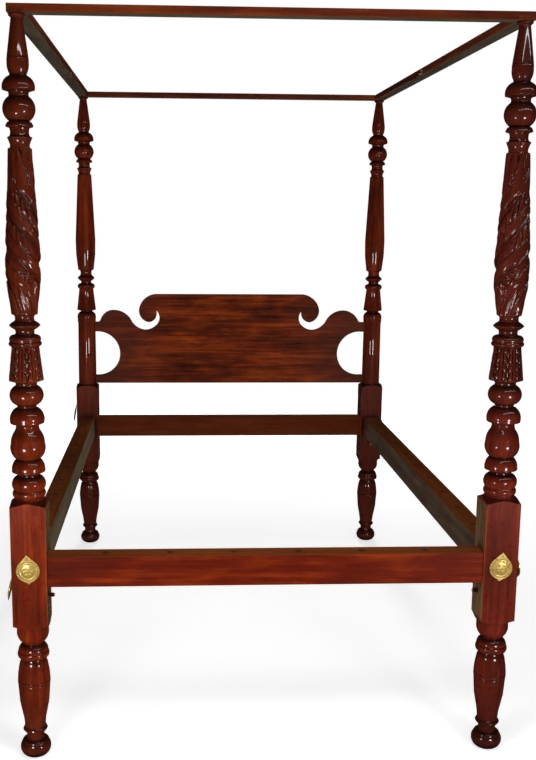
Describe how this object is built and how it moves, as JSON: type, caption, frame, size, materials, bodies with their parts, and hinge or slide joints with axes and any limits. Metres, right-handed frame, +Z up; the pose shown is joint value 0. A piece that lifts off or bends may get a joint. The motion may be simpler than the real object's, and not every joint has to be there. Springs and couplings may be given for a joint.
{
  "type": "tester bed",
  "caption": "Tall-post bed with turned and carved posts, bolted rails, a scrolled headboard, an open tester frame and swinging brass bolt covers.",
  "frame": {"origin": "on the floor, under the centre of the bed", "axes": "+Z up; +Y from the foot to the headboard; +X to the right of somebody standing at the foot"},
  "size_m": [1.5168, 2.1426, 2.154],
  "materials": {
    "carved_mahogany": "glossy shellac over carved and turned mahogany",
    "turned_mahogany": "glossy shellac over turned mahogany",
    "rail_mahogany": "satin on the faces, worn and unfinished inside",
    "board_mahogany": "satin old finish over figured mahogany",
    "tester_mahogany": "satin, unfinished below",
    "plug_wood": "dull dark plugs",
    "brass_cover": "polished stamped brass with darker hollows",
    "brass_small": "tarnished brass",
    "iron": "dark forged iron"
  },
  "bodies": {
    "frame": {"foot_post_left": "carved_mahogany", "foot_post_right": "carved_mahogany", "head_post_left": "turned_mahogany", "head_post_right": "turned_mahogany", "foot_rail": "rail_mahogany", "head_rail": "rail_mahogany", "side_rail_left": "rail_mahogany", "side_rail_right": "rail_mahogany", "headboard": "board_mahogany", "tester_rail_foot": "tester_mahogany", "tester_rail_head": "tester_mahogany", "tester_rail_left": "tester_mahogany", "tester_rail_right": "tester_mahogany", "tester_hook": "brass_small", "tester_pins": "iron", "rope_peg_plugs_foot": "plug_wood", "rope_peg_plugs_head": "plug_wood", "rope_peg_plugs_left": "plug_wood", "rope_peg_plugs_right": "plug_wood", "bed_bolts": "iron", "bed_bolt_nuts": "iron", "cover_nails": "brass_small", "under_rail_pegs": "iron", "under_rail_peg_tips": "brass_small"},
    "bolt_cover_foot_left_side": {"bolt_cover_foot_left_side": "brass_cover"},
    "bolt_cover_foot_left_end": {"bolt_cover_foot_left_end": "brass_cover"},
    "bolt_cover_foot_right_side": {"bolt_cover_foot_right_side": "brass_cover"},
    "bolt_cover_foot_right_end": {"bolt_cover_foot_right_end": "brass_cover"},
    "bolt_cover_head_left_side": {"bolt_cover_head_left_side": "brass_cover"},
    "bolt_cover_head_left_end": {"bolt_cover_head_left_end": "brass_cover"},
    "bolt_cover_head_right_side": {"bolt_cover_head_right_side": "brass_cover"},
    "bolt_cover_head_right_end": {"bolt_cover_head_right_end": "brass_cover"}
  },
  "joints": [
    {"name": "foot_left_side_swing", "type": "hinge", "parent": "frame", "child": "bolt_cover_foot_left_side", "pos_m": [-0.7416, -1.014, 0.56054], "axis": [-0.9816, 0, 0.1908], "range_deg": [-55, 25]},
    {"name": "foot_left_end_swing", "type": "hinge", "parent": "frame", "child": "bolt_cover_foot_left_end", "pos_m": [-0.6935, -1.0653, 0.63], "axis": [0, -1, 0], "continuous": true},
    {"name": "foot_right_side_swing", "type": "hinge", "parent": "frame", "child": "bolt_cover_foot_right_side", "pos_m": [0.7453, -1.014, 0.61691], "axis": [0.9903, 0, 0.1392], "range_deg": [-25, 90]},
    {"name": "foot_right_end_swing", "type": "hinge", "parent": "frame", "child": "bolt_cover_foot_right_end", "pos_m": [0.6914, -1.0653, 0.625], "axis": [0, -1, 0], "continuous": true},
    {"name": "head_left_side_swing", "type": "hinge", "parent": "frame", "child": "bolt_cover_head_left_side", "pos_m": [-0.7453, 1.014, 0.67991], "axis": [-0.9903, 0, 0.1392], "range_deg": [-25, 90]},
    {"name": "head_left_end_swing", "type": "hinge", "parent": "frame", "child": "bolt_cover_head_left_end", "pos_m": [-0.688, 1.0653, 0.63], "axis": [0, 1, 0], "continuous": true},
    {"name": "head_right_side_swing", "type": "hinge", "parent": "frame", "child": "bolt_cover_head_right_side", "pos_m": [0.7453, 1.014, 0.61691], "axis": [0.9903, 0, 0.1392], "range_deg": [-90, 25]},
    {"name": "head_right_end_swing", "type": "hinge", "parent": "frame", "child": "bolt_cover_head_right_end", "pos_m": [0.688, 1.0653, 0.63], "axis": [0, 1, 0], "continuous": true}
  ]
}
